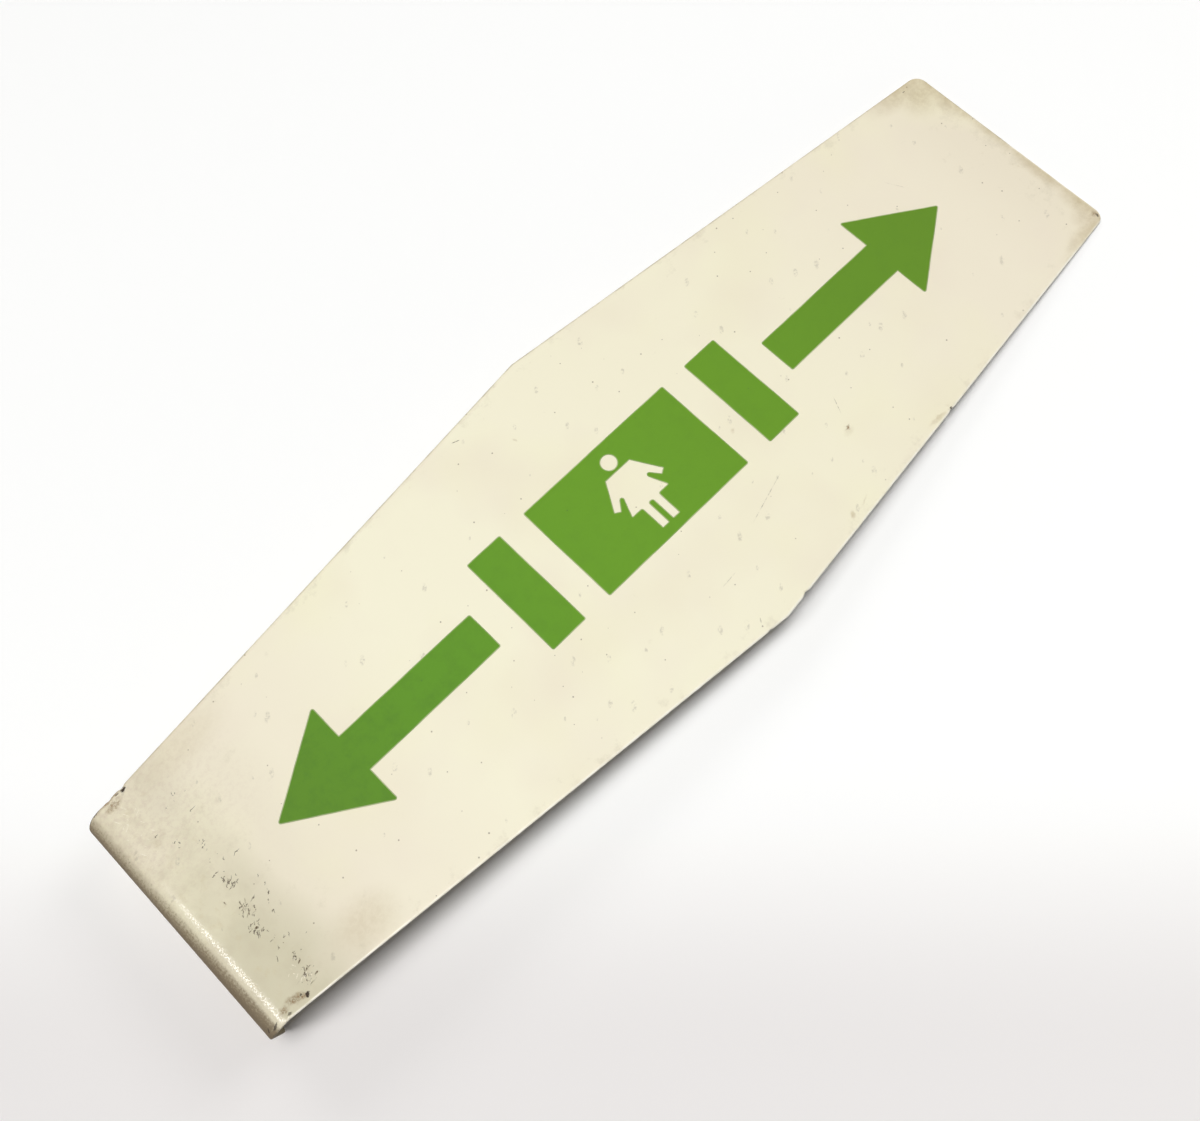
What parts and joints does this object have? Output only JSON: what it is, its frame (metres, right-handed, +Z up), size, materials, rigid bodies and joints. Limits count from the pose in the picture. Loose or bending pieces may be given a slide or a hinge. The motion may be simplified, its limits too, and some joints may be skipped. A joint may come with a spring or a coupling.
{
  "type": "flanged restroom sign",
  "caption": "Projecting restroom sign: a long hexagonal face of painted sheet steel, one end bent round into a short screw-on wall flange.",
  "frame": {"origin": "middle of the sign's outermost sizes seen from above, at the height of the table that it lies on", "axes": "+X along the sign, from the flange to the far end; +Y across its width; +Z up. The face looks up and slopes 4.5 degrees down towards +X, as the sign comes to rest on the flange's free edge and the far end's lower edge"},
  "size_m": [0.3128, 0.1016, 0.0249],
  "materials": {
    "cream_paint": "aged satin enamel on sheet steel",
    "green_print": "screen-printed satin enamel"
  },
  "bodies": {
    "root": {"sign_plate": "cream_paint"}
  },
  "joints": []
}
